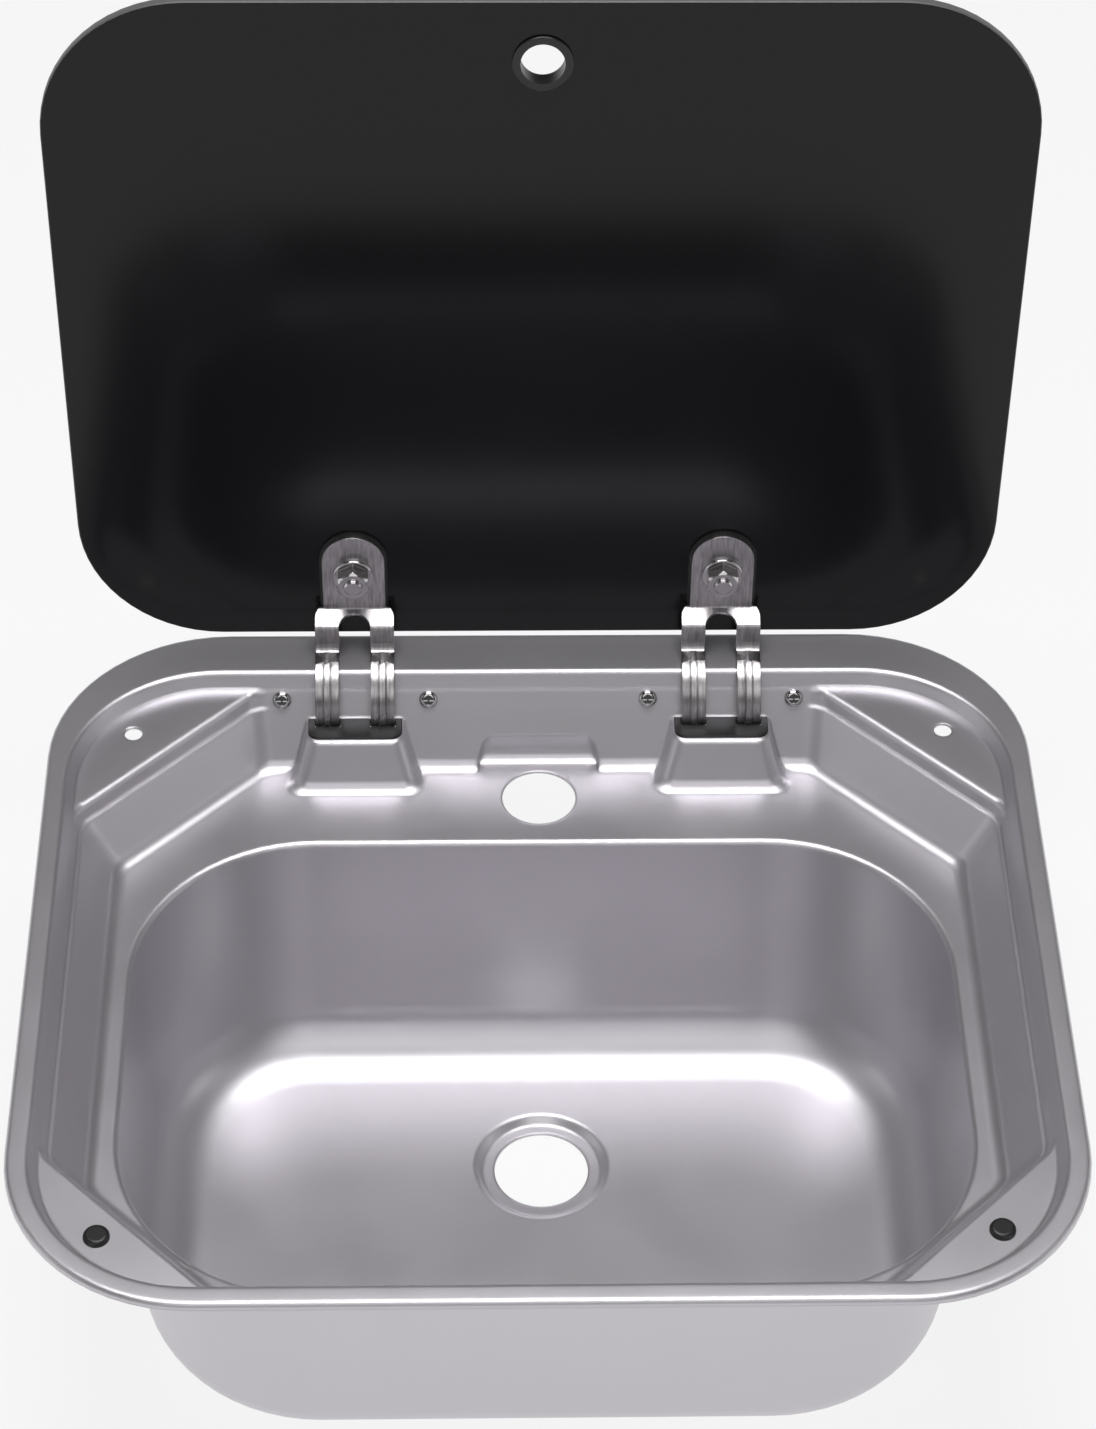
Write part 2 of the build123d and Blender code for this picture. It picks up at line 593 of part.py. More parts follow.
# Lid bolt with its flat head outside the glass, the washer under the head, and the flange nut
def lid_bolt():
    head = Cylinder(BOLT_HEAD_RADIUS, BOLT_HEAD_HEIGHT, align=(Align.CENTER, Align.CENTER, Align.MIN))
    head = fillet(head.edges().group_by(Axis.Z)[-1], BOLT_HEAD_ROUND)
    length = WASHER_THICKNESS + plate_depth + FLANGE_NUT_HEIGHT + BOLT_END
    shank = Cylinder(BOLT_RADIUS, length, align=(Align.CENTER, Align.CENTER, Align.MAX))
    shank = chamfer(shank.edges().group_by(Axis.Z)[0], BOLT_END / 2)
    return Pos(HINGE_X, lid_rear - LID_BOLT_INSET, WASHER_THICKNESS) * (head + shank)


def bolt_washer():
    ring = Circle(WASHER_RADIUS) - Circle(BOLT_RADIUS + HOLE_CLEARANCE / 2)
    return Pos(HINGE_X, lid_rear - LID_BOLT_INSET) * extrude(ring, WASHER_THICKNESS)


def flange_nut():
    flange = Cylinder(
        FLANGE_NUT_RADIUS, FLANGE_NUT_FLANGE, align=(Align.CENTER, Align.CENTER, Align.MAX)
    )
    flange = fillet(flange.edges().group_by(Axis.Z)[0], FLANGE_NUT_ROUND)
    hexagon = RegularPolygon(FLANGE_NUT_FLATS / 2, 6, major_radius=False, rotation=30)
    top_cone = Pos(0, 0, -FLANGE_NUT_HEIGHT) * Cone(
        FLANGE_NUT_TOP_RADIUS, FLANGE_NUT_TOP_RADIUS + FLANGE_NUT_HEIGHT, FLANGE_NUT_HEIGHT,
        align=(Align.CENTER, Align.CENTER, Align.MIN),
    )
    nut = flange + (extrude(hexagon, -FLANGE_NUT_HEIGHT) & top_cone)
    nut = nut - Cylinder(BOLT_RADIUS + PIN_FIT, 3 * FLANGE_NUT_HEIGHT)
    return Pos(HINGE_X, lid_rear - LID_BOLT_INSET, -plate_depth) * nut


# Slot plate: plastic guide on the boss, its spigot in the sheet, one slot for each arm
def slot_plate():
    depth = slot_plate_rear - slot_plate_front
    outline = Pos(HINGE_X, (slot_plate_rear + slot_plate_front) / 2) * Rectangle(SLOT_PLATE_WIDTH, depth)
    outline = fillet(outline.vertices().group_by(Axis.Y)[0], SLOT_PLATE_ROUND)
    plate = Pos(0, 0, -BOSS_DEPTH) * extrude(outline, SLOT_PLATE_THICKNESS)
    plate = chamfer(plate.edges().group_by(Axis.Z)[-1], SLOT_PLATE_BREAK)
    spigot = Pos(HINGE_X, (spigot_front + spigot_rear) / 2, -BOSS_DEPTH) * Box(
        SPIGOT_WIDTH, spigot_rear - spigot_front, SPIGOT_DEPTH, align=(Align.CENTER, Align.CENTER, Align.MAX)
    )
    below_pin = BOSS_DEPTH + SPIGOT_DEPTH - PIVOT_DEPTH
    front = pivot_y - ARM_RADIUS - RIB_HEIGHT - SLOT_CLEARANCE
    rear = pivot_y - math.sqrt((ARM_RADIUS - STRIP) ** 2 - below_pin ** 2) + SLOT_CLEARANCE
    slot = Box(arm_width + 2 * SLOT_CLEARANCE, rear - front, PIVOT_DEPTH)
    plate = plate + spigot
    for side in (-1, 1):
        plate = plate - Pos(HINGE_X + side * arm_centre, (front + rear) / 2, -BOSS_DEPTH) * slot
    return plate


# Hinge housing: folded steel behind the rear wall, two cheeks, a back and an ear for each screw
def hinge_housing():
    def front(depth):
        return land_rear + CHEEK_SETBACK - (depth - LAND_DEPTH) * REAR_RUN / wall_height

    bottom = CHEEK_TOP_DEPTH + CHEEK_HEIGHT
    nose = front(BOSS_DEPTH - SLOT_PLATE_THICKNESS)
    outline = make_face(Polyline(
        (front(CHEEK_TOP_DEPTH), -CHEEK_TOP_DEPTH), (cheek_rear_y, -CHEEK_TOP_DEPTH),
        (cheek_rear_y, -bottom), (nose + CHEEK_HEIGHT / 2, -bottom),
        (nose, -PIVOT_DEPTH - STOP_RADIUS), (nose, -BOSS_DEPTH + SLOT_PLATE_THICKNESS),
        close=True,
    ))
    housing = Pos(HINGE_X, cheek_rear_y - CHEEK / 2, -(CHEEK_TOP_DEPTH + bottom) / 2) * Box(
        2 * cheek_centre + CHEEK, CHEEK, CHEEK_HEIGHT
    )
    for side in (-1, 1):
        housing = housing + across(outline, HINGE_X + side * cheek_centre, CHEEK)
        ear_reach = SCREW_SPACING / 2 + EAR_WIDTH / 2 - cheek_centre + CHEEK / 2
        ear = Pos(-side * (ear_reach - EAR_WIDTH) / 2, 0, -SHEET - HOLE_CLEARANCE) * Box(
            ear_reach, EAR_HEIGHT, CHEEK, align=(Align.CENTER, Align.CENTER, Align.MAX)
        )
        bore = Cylinder(SCREW_RADIUS + HOLE_CLEARANCE, CUT_LENGTH)
        place = wall_place(HINGE_X + side * SCREW_SPACING / 2, SCREW_DEPTH)
        housing = housing + place * ear - place * bore
    housing = housing - axle(HINGE_X, PIN_RADIUS + PIN_FIT, 4 * cheek_centre)
    return housing - axle(HINGE_X, STOP_RADIUS + PIN_FIT, 4 * cheek_centre, *stop)


# Hinge pin and stop rod, riveted across the cheeks, and the retaining rings in the pin's grooves
def hinge_pin():
    pin = axle(HINGE_X, PIN_RADIUS, 2 * (cheek_centre + CHEEK + 2 * RING_THICKNESS))
    return pin - retaining_rings()


def retaining_rings():
    rings = []
    for side in (-1, 1):
        x = HINGE_X + side * (cheek_centre + CHEEK / 2 + HOLE_CLEARANCE + RING_THICKNESS / 2)
        rings.append(axle(x, RING_RADIUS, RING_THICKNESS) - axle(x, GROOVE_RADIUS, RING_THICKNESS))
    return Compound(rings)


def stop_rod():
    return axle(HINGE_X, STOP_RADIUS, 2 * cheek_centre + 2 * CHEEK, *stop)


# Housing screws: domed heads with a cross recess in the wall, and their nuts behind the ears
def housing_screw():
    head = Cylinder(SCREW_HEAD_RADIUS, SCREW_HEAD_HEIGHT, align=(Align.CENTER, Align.CENTER, Align.MIN))
    head = fillet(head.edges().group_by(Axis.Z)[-1], SCREW_HEAD_ROUND)
    slot = Box(CROSS_LENGTH, CROSS_WIDTH, 2 * CROSS_DEPTH)
    cross = slot + Rot(0, 0, 90) * slot
    head = head - Pos(0, 0, SCREW_HEAD_HEIGHT) * cross
    shank = Cylinder(SCREW_RADIUS, SCREW_LENGTH, align=(Align.CENTER, Align.CENTER, Align.MAX))
    return head + shank


def screw_nut():
    seat = SHEET + HOLE_CLEARANCE + CHEEK
    body = extrude(RegularPolygon(SCREW_NUT_FLATS / 2, 6, major_radius=False), -SCREW_NUT_HEIGHT)
    return Pos(0, 0, -seat) * (body - Cylinder(SCREW_RADIUS + PIN_FIT, CUT_LENGTH))


def at_screws(piece):
    """The same piece at both screws of one hinge."""
    offsets = (-SCREW_SPACING / 2, SCREW_SPACING / 2)
    return Compound([wall_place(HINGE_X + x, SCREW_DEPTH) * piece for x in offsets])


if __name__ == "__main__":
    os.makedirs("parts", exist_ok=True)
    save("sink_pressing", sink_pressing())
    save("rim_seal", rim_seal())
    both_sides("front_bumper", bumper())
    both_sides("slot_plate", slot_plate())
    both_sides("hinge_housing", hinge_housing())
    both_sides("hinge_pin", hinge_pin())
    both_sides("retaining_rings", retaining_rings())
    both_sides("stop_rod", stop_rod())
    both_sides("housing_screws", at_screws(housing_screw()))
    both_sides("housing_nuts", at_screws(screw_nut()))
    save("glass_lid", open_lid * glass_lid())
    save("finger_grommet", open_lid * finger_grommet())
    both_sides("hinge_bracket", open_lid * hinge_bracket())
    both_sides("bracket_pad", open_lid * bracket_pad())
    both_sides("lid_bolt", open_lid * lid_bolt())
    both_sides("bolt_washer", open_lid * bolt_washer())
    both_sides("flange_nut", open_lid * flange_nut())
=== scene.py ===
import bmesh
import bpy
import json
import math
from mathutils import Matrix, Vector


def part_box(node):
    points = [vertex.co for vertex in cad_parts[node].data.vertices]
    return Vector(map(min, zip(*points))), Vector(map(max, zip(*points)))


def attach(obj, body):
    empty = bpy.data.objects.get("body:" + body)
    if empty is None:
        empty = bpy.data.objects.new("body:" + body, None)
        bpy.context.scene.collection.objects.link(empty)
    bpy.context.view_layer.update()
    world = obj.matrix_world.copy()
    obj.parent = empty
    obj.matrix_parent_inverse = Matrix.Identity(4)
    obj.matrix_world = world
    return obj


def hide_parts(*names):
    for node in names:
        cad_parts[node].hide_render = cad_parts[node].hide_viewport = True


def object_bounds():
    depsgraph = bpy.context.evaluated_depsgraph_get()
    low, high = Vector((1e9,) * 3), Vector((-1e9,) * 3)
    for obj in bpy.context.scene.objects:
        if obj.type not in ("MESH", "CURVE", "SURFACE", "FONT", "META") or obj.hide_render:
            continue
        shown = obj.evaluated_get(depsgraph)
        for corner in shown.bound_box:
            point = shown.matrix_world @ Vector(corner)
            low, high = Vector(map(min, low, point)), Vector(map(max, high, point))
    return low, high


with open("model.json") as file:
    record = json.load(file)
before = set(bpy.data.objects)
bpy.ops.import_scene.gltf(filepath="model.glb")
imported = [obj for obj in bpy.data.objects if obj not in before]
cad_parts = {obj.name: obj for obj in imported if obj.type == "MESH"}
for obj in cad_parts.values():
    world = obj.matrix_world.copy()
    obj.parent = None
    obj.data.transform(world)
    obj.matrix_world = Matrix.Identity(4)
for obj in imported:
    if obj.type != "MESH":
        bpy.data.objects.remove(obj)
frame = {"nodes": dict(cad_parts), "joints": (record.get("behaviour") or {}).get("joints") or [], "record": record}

cad_low, cad_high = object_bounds()


# Studio: a pale floor that the bowl stands just above, seen as white by the camera and by the shiny
# pieces, air that is pale at the horizon and dim above, and soft lamps: a large one overhead, one in
# front and one at each side.
def deselect():
    """Leave edit mode and select nothing."""
    if bpy.context.mode == "EDIT_MESH":
        bpy.ops.object.mode_set(mode="OBJECT")
    for thing in bpy.context.selected_objects:
        thing.select_set(False)


def add_node(tree, kind, values=()):
    """New node, with numbers and colours set on its named sockets."""
    node = tree.nodes.new(kind)
    for socket, value in dict(values).items():
        node.inputs[socket].default_value = value
    return node


floor_size = 200.0
floor_gap = 0.0005
floor_middle = (0.0, 1.0, cad_low.z - floor_gap)
white_share = 0.85
white = (1, 1, 1, 1)

deselect()
bpy.ops.mesh.primitive_plane_add(size=floor_size, location=floor_middle)
floor = bpy.context.object
floor.name = "studio_floor"
floor_paint = bpy.data.materials.new("floor_paint")
floor_paint.use_nodes = True
tree = floor_paint.node_tree
chalk = tree.nodes["Principled BSDF"]
chalk.inputs["Base Color"].default_value = (0.86, 0.86, 0.87, 1)
chalk.inputs["Roughness"].default_value = 0.9
glow = add_node(tree, "ShaderNodeEmission", {"Color": white, "Strength": 1.0})
path = add_node(tree, "ShaderNodeLightPath")
seen = path.outputs["Is Camera Ray"]
for ray in ("Is Glossy Ray", "Is Transmission Ray"):
    either = add_node(tree, "ShaderNodeMath")
    either.operation = "MAXIMUM"
    tree.links.new(seen, either.inputs[0])
    tree.links.new(path.outputs[ray], either.inputs[1])
    seen = either.outputs[0]
share = add_node(tree, "ShaderNodeMath")
share.operation = "MULTIPLY"
share.inputs[1].default_value = white_share
tree.links.new(seen, share.inputs[0])
mix = add_node(tree, "ShaderNodeMixShader")
tree.links.new(share.outputs[0], mix.inputs["Fac"])
tree.links.new(chalk.outputs["BSDF"], mix.inputs[1])
tree.links.new(glow.outputs["Emission"], mix.inputs[2])
tree.links.new(mix.outputs["Shader"], tree.nodes["Material Output"].inputs["Surface"])
floor.data.materials.append(floor_paint)

horizon_height, upper_height = 0.06, 0.34
horizon_light, upper_light = 0.7, 0.08

world = bpy.data.worlds.new("studio_air")
bpy.context.scene.world = world
world.use_nodes = True
tree = world.node_tree
air = tree.nodes["Background"]
air.inputs["Color"].default_value = white
sky = add_node(tree, "ShaderNodeTexCoord")
height = add_node(tree, "ShaderNodeSeparateXYZ")
fade = add_node(tree, "ShaderNodeMapRange", {
    "From Min": horizon_height, "From Max": upper_height,
    "To Min": horizon_light, "To Max": upper_light,
})
tree.links.new(sky.outputs["Generated"], height.inputs["Vector"])
tree.links.new(height.outputs["Z"], fade.inputs["Value"])
tree.links.new(fade.outputs["Result"], air.inputs["Strength"])


def lamp(name, place, width, height, power):
    """Soft box at a place, turned towards the middle of the sink."""
    bpy.ops.object.light_add(type="AREA", location=place)
    box = bpy.context.object
    box.name = name
    box.data.shape = "RECTANGLE"
    box.data.size = width
    box.data.size_y = height
    box.data.energy = power
    box.rotation_euler = (Vector((0.0, 0.0, 0.0)) - Vector(place)).to_track_quat("-Z", "Y").to_euler()


lamp("top_box", place=(0.0, 0.1, 1.5), width=1.0, height=0.6, power=17)
lamp("front_box", place=(0.0, -1.4, 1.5), width=1.6, height=1.0, power=6)
lamp("left_box", place=(-1.5, -0.2, 0.7), width=0.7, height=1.2, power=1.2)
lamp("right_box", place=(1.5, -0.2, 0.7), width=0.7, height=1.2, power=1.2)

# Camera: where it stands, how it is turned, and its focal length and middle in photograph pixels
photo_width, photo_height = 1096, 1429
focal_pixels = 3712.5
middle_pixel_x, middle_pixel_y = 557.1, 854.5
film_width = 36.0
eye = (-0.0283, -1.0292, 1.1084)
pitch, yaw, roll = (math.radians(angle) for angle in (45.72, 1.83, 1.00))

camera_data = bpy.data.cameras.new("camera")
camera = bpy.data.objects.new("camera", camera_data)
bpy.context.scene.collection.objects.link(camera)
bpy.context.scene.camera = camera
camera_data.sensor_width = film_width
camera_data.lens = focal_pixels * film_width / photo_height
camera_data.shift_x = (photo_width / 2 - middle_pixel_x) / photo_height
camera_data.shift_y = (middle_pixel_y - photo_height / 2) / photo_height
ahead = Vector((math.sin(yaw) * math.cos(pitch), math.cos(yaw) * math.cos(pitch), -math.sin(pitch)))
right = Vector((math.cos(yaw), -math.sin(yaw), 0.0))
down = -right.cross(ahead)
tilted_right = right * math.cos(roll) - down * math.sin(roll)
tilted_down = right * math.sin(roll) + down * math.cos(roll)
turn = Matrix((tilted_right, -tilted_down, -ahead)).transposed()
camera.matrix_world = Matrix.Translation(eye) @ turn.to_4x4()
bpy.context.scene.view_settings.view_transform = "Standard"


# Sink pressing: one sheet of stainless steel 0.8 mm thick, deep drawn with the rim, the recess for
# the lid, the ledge and the bowl. The space above it is built first, in millimetres, as the press
# tool would fill it, and its lower skin is then given the sheet's thickness.
hair = 0.01
touching = 0.002
corner_segments = 15
fold_segments = 7


def new_outlines(name):
    """Empty mesh in edit mode, ready for outlines."""
    deselect()
    bpy.ops.object.add(type="MESH", enter_editmode=True)
    bpy.context.object.name = name
    bpy.ops.mesh.select_mode(type="VERT")
    return bpy.context.object


def pick(test, kind="verts"):
    """Select only the parts of the edited mesh whose corners all pass a test."""
    mesh = bmesh.from_edit_mesh(bpy.context.object.data)
    bpy.ops.mesh.select_all(action="DESELECT")
    for part in getattr(mesh, kind):
        corners = [part] if kind == "verts" else part.verts
        if all(test(corner.co) for corner in corners):
            part.select = True
    mesh.select_flush_mode()
    bmesh.update_edit_mesh(bpy.context.object.data)


def at(*heights):
    """Test for points that lie at one of these heights."""
    return lambda point: any(abs(point.z - height) < touching for height in heights)


def outline(shape, height, fold=0.0):
    """Rectangle at one height with round corners, or with cut corners and round folds."""
    half, front, rear, front_corner, rear_corner = shape
    middle = (front + rear) / 2
    bpy.ops.mesh.primitive_plane_add(size=1.0, location=(0.0, middle, height))
    bpy.ops.transform.resize(value=(2 * half, rear - front, 1.0), center_override=(0.0, middle, height))
    for nearer, corner in ((True, front_corner), (False, rear_corner)):
        pick(lambda p: at(height)(p) and (p.y < middle) == nearer)
        bpy.ops.mesh.bevel(
            offset=corner, segments=1 if fold else corner_segments, affect="VERTICES", clamp_overlap=False
        )
    if fold:
        pick(at(height))
        reach = fold * math.tan(math.radians(45.0 / 2))
        bpy.ops.mesh.bevel(offset=reach, segments=fold_segments, affect="VERTICES", clamp_overlap=False)
    pick(at(height))
    bpy.ops.mesh.delete(type="ONLY_FACE")


def inward(shape, step):
    """The outline that runs inside another one at an even distance."""
    half, front, rear, front_corner, rear_corner = shape
    return half - step, front + step, rear - step, front_corner - step, rear_corner - step


def skin(heights):
    """Walls between outlines that follow each other, and a cap on the first and last."""
    bpy.ops.mesh.select_mode(type="EDGE")
    for upper, lower in zip(heights, heights[1:]):
        mesh = bmesh.from_edit_mesh(bpy.context.object.data)
        for edge in mesh.edges:
            ends = [corner.co for corner in edge.verts]
            edge.select = any(all(at(height)(end) for end in ends) for height in (upper, lower))
        mesh.select_flush_mode()
        bmesh.update_edit_mesh(bpy.context.object.data)
        bpy.ops.mesh.bridge_edge_loops()
    for height in (heights[0], heights[-1]):
        pick(at(height), "edges")
        bpy.ops.mesh.edge_face_add()
    bpy.ops.mesh.select_all(action="SELECT")
    bpy.ops.mesh.normals_make_consistent(inside=False)


def layered(name, layers, fold=0.0):
    """Solid in edit mode whose walls run from each outline to the next."""
    piece = new_outlines(name)
    for shape, height in layers:
        outline(shape, height, fold)
    skin([height for shape, height in layers])
    return piece


def block(name, place, size):
    """Square block in edit mode, by its middle and its size."""
    piece = new_outlines(name)
    bpy.ops.mesh.primitive_cube_add(size=1.0, location=place)
    bpy.ops.transform.resize(value=size, center_override=place)
    return piece


def rod(name, place, radius, length, turned=(0.0, 0.0, 0.0), sides=64):
    """Round rod in edit mode, by its middle, upright unless turned."""
    piece = new_outlines(name)
    bpy.ops.mesh.primitive_cylinder_add(
        vertices=sides, radius=radius, depth=length, location=place, rotation=turned
    )
    return piece


def round_edge(height, reach, segments):
    """Round the fold at one height, reaching so far to each side of it."""
    pick(at(height), "edges")
    bpy.ops.mesh.bevel(offset=reach, segments=segments, affect="EDGES", clamp_overlap=False)


def work_on(piece):
    """Select one piece alone and make it the active one."""
    deselect()
    bpy.context.view_layer.objects.active = piece
    piece.select_set(True)


def combine(target, tool, operation):
    """Add one solid to another, or take it away."""
    work_on(target)
    joint = target.modifiers.new("combine", "BOOLEAN")
    joint.operation = operation
    joint.solver = "EXACT"
    joint.object = tool
    bpy.ops.object.modifier_apply(modifier="combine")
    bpy.data.objects.remove(tool)


def coat(piece, *materials):
    """Give a piece its finish in place of any that it has."""
    piece.data.materials.clear()
    for material in materials:
        piece.data.materials.append(material)


def finish_mesh(piece, smooth_up_to, body, node):
    """Millimetres to metres, smooth shading up to an angle, the body, and the CAD node hidden."""
    metres_in_millimetre = 0.001
    work_on(piece)
    piece.scale = (metres_in_millimetre,) * 3
    bpy.ops.object.transform_apply(location=True, rotation=True, scale=True)
    bpy.ops.object.shade_smooth_by_angle(angle=math.radians(smooth_up_to))
    weigh = piece.modifiers.new("weigh", "WEIGHTED_NORMAL")
    weigh.mode = "FACE_AREA"
    weigh.weight = 90
    weigh.keep_sharp = True
    bpy.ops.object.modifier_apply(modifier="weigh")
    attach(piece, body)
    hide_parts(node)


def new_paint(name, values=()):
    """Material, its nodes, its shader with some values set, and the piece's own coordinates."""
    paint = bpy.data.materials.new(name)
    paint.use_nodes = True
    tree = paint.node_tree
    face = tree.nodes["Principled BSDF"]
    for socket, value in dict(values).items():
        face.inputs[socket].default_value = value
    return paint, tree, face, add_node(tree, "ShaderNodeTexCoord").outputs["Object"]


def pattern(tree, kind, place, values):
    """Pattern that lies on given coordinates."""
    texture = add_node(tree, kind, values)
    tree.links.new(place, texture.inputs["Vector"])
    return texture


def spread(tree, source, low, high, socket):
    """Let a pattern drive a socket between a low and a high value."""
    between = add_node(tree, "ShaderNodeMapRange", {"To Min": low, "To Max": high})
    tree.links.new(source, between.inputs["Value"])
    tree.links.new(between.outputs["Result"], socket)


def emboss(tree, source, face, strength, depth, fold=0.0):
    """Raise a pattern in fine bumps, over folds that catch the light as round ones do."""
    bump = add_node(tree, "ShaderNodeBump", {"Strength": strength, "Distance": depth})
    tree.links.new(source, bump.inputs["Height"])
    if fold:
        soft_fold = add_node(tree, "ShaderNodeBevel", {"Radius": fold})
        soft_fold.samples = 6
        tree.links.new(soft_fold.outputs["Normal"], bump.inputs["Normal"])
    tree.links.new(bump.outputs["Normal"], face.inputs["Normal"])


def satin_stainless(name, colour, roughness, grain, fold=0.0, metal=1.0):
    """Stainless steel with a fine matt grain, faint clouds in its gloss and softened folds."""
    steel, tree, face, place = new_paint(name, {"Base Color": (*colour, 1), "Metallic": metal})
    clouds = pattern(tree, "ShaderNodeTexNoise", place, {"Scale": 28.0, "Detail": 5.0})
    spread(tree, clouds.outputs["Fac"], roughness * 0.9, roughness * 1.12, face.inputs["Roughness"])
    speckle = pattern(tree, "ShaderNodeTexNoise", place, {"Scale": 1400.0, "Detail": 2.0})
    emboss(tree, speckle.outputs["Fac"], face, strength=grain, depth=0.00005, fold=fold)
    return steel


def millimetres(metres):
    """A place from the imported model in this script's millimetres."""
    return round(1000 * metres, 2)


# Heights of the sheet's upper face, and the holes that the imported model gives
sheet = 0.8
sheet_low, sheet_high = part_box("sink_pressing")
rim_top = millimetres(sheet_high.z)
land_level = -4.0
ledge_level = -34.0
floor_level = -138.0
drain_level = millimetres(sheet_low.z) + sheet
holes = {mount["name"]: mount for mount in frame["record"]["mounts"]}

# Outlines are given by half the width, front edge, rear edge, front corners and rear corners.
# Rim, 420 by 370 mm and 3 mm high, and the mouth of the recess down to the corner lands
space_top = 60.0
space_margin = 22.0
rim = (millimetres(sheet_high.x), millimetres(sheet_low.y), millimetres(sheet_high.y), 75.0, 75.0)
mouth = (201.0, -175.5, 160.0, 66.0, 62.0)
mouth_draft = 3.2

pressing = layered("pressing", (
    (inward(rim, -space_margin), space_top),
    (inward(rim, -space_margin), -hair),
    (rim, 0.0),
    (rim, rim_top),
    (mouth, rim_top - hair),
    (inward(mouth, mouth_draft), land_level),
))
round_edge(rim_top - hair, reach=1.5, segments=4)
round_edge(rim_top, reach=2.3, segments=5)

# Walls with cut corners, from the lands past the narrow side step down to the ledge
wall_break = -5.4
step_level = -11.0
wall_fold = 12.0
wall_top_outline = (197.78, -172.28, 156.78, 66.56, 72.46)
wall_break_outline = (197.36, -171.53, 155.89, 68.49, 74.45)
step_outline = (195.6, -168.4, 152.2, 65.2, 71.3)
below_step_outline = (193.8, -168.4, 152.2, 65.2, 71.3)
ledge_outline = (181.3, -155.8, 137.3, 54.0, 61.0)

walls = layered("walls", (
    (wall_top_outline, land_level + 1.0),
    (wall_top_outline, land_level),
    (wall_break_outline, wall_break),
    (step_outline, step_level),
    (below_step_outline, step_level - 3 * hair),
    (ledge_outline, ledge_level),
), fold=wall_fold)
round_edge(ledge_level, reach=4.5, segments=6)
round_edge(wall_break, reach=0.7, segments=2)
combine(pressing, walls, "UNION")

# Bowl, 104 mm deep below the ledge, with steep walls and a wide round at its floor
bowl_outline = (171.4, -150.8, 91.2, 80.0, 75.0)
bowl_flare = inward(bowl_outline, -2.7)
floor_outline = (164.1, -145.4, 67.2, 72.7, 67.7)

bowl = layered("bowl", (
    (bowl_flare, ledge_level + hair),
    (bowl_outline, ledge_level - hair),
    (floor_outline, floor_level),
))
round_edge(floor_level, reach=23.0, segments=10)
round_edge(ledge_level - hair, reach=2.4, segments=4)
combine(pressing, bowl, "UNION")

# Drain recess, 58 mm across and 3.2 mm deep, and the open drain hole
drain_y = millimetres(holes["drain_hole"]["pos_m"][1])
drain_radius = holes["drain_hole"]["dims"]["r_mm"]
drain_end = -150.0
drain_rings = (
    (31.0, floor_level + hair),
    (29.0, floor_level - hair),
    (25.5, drain_level + 2 * hair),
    (drain_radius, drain_level),
    (drain_radius, drain_end),
)

drain = new_outlines("drain")
for radius, height in drain_rings:
    bpy.ops.mesh.primitive_circle_add(vertices=64, radius=radius, location=(0.0, drain_y, height))
skin([height for radius, height in drain_rings])
round_edge(drain_level + 2 * hair, reach=0.8, segments=3)
round_edge(floor_level - hair, reach=1.2, segments=3)
combine(pressing, drain, "UNION")

# Shallow niche behind the tap hole
niche_middle = (0.0, 123.3, -25.0)
niche_size = (53.0, 44.0, 18.0)

niche = block("niche", niche_middle, niche_size)
pick(lambda p: p.y > niche_middle[1], "edges")
bpy.ops.mesh.bevel(offset=6.5, segments=7, affect="EDGES")
combine(pressing, niche, "UNION")

# Two bosses that carry the slot plates, with sloping sides and a wide round at the foot
hinge_x = 80.0
boss_top = -15.0
boss_foot = ledge_level - 3 * hair
boss_skirt = ledge_level - 1.2 * hair
boss_root = ledge_level - 6.0
boss_top_outline = (21.0, 134.5, 190.0, 6.0, 6.0)
boss_foot_outline = (27.0, 124.0, 190.0, 6.0, 6.0)
boss_skirt_outline = (39.0, 112.0, 190.0, 6.0, 6.0)

for side in (-1, 1):
    boss = layered("boss", (
        (boss_skirt_outline, boss_root),
        (boss_skirt_outline, boss_skirt),
        (boss_foot_outline, boss_foot),
        (boss_top_outline, boss_top),
    ))
    round_edge(boss_foot, reach=5.0, segments=6)
    round_edge(boss_top, reach=1.6, segments=4)
    bpy.ops.mesh.select_all(action="SELECT")
    bpy.ops.transform.translate(value=(side * hinge_x, 0.0, 0.0))
    combine(pressing, boss, "DIFFERENCE")

# Tap hole, two holes in the rear lands, bumper and screw holes, and the openings in the bosses
punch_length = 4.0
tap_y = millimetres(holes["tap_hole"]["pos_m"][1])
tap_radius = holes["tap_hole"]["dims"]["r_mm"]
land_hole_x = holes["worktop_screw_holes"]["dims"]["spacing_x_mm"] / 2
land_hole_y = millimetres(holes["worktop_screw_holes"]["pos_m"][1])
land_hole_radius = holes["worktop_screw_holes"]["dims"]["hole_r_mm"]
bumper_x, bumper_y, bumper_radius = 172.5, -146.5, 2.6
screw_reach, screw_y, screw_z, screw_radius = 32.0, 154.4, -8.0, 2.2
wall_lean = math.radians(50)
opening_y, opening_width, opening_depth = 144.7, 37.4, 7.4


def punch(x, y, radius, level):
    """Round hole through a level stretch of the sheet."""
    combine(pressing, rod("punch", (x, y, level), radius, punch_length, sides=48), "UNION")


punch(0.0, tap_y, tap_radius, ledge_level)
for side in (-1, 1):
    punch(side * land_hole_x, land_hole_y, land_hole_radius, land_level)
for side in (-1, 1):
    punch(side * bumper_x, bumper_y, bumper_radius, land_level)
for side in (-1, 1):
    for reach in (-screw_reach, screw_reach):
        screw_middle = (side * hinge_x + reach, screw_y, screw_z)
        tool = rod("punch", screw_middle, screw_radius, 2 * punch_length, (wall_lean, 0, 0), sides=24)
        combine(pressing, tool, "UNION")
opening_size = (opening_width, opening_depth, punch_length)
for side in (-1, 1):
    combine(pressing, block("punch", (side * hinge_x, opening_y, boss_top), opening_size), "UNION")

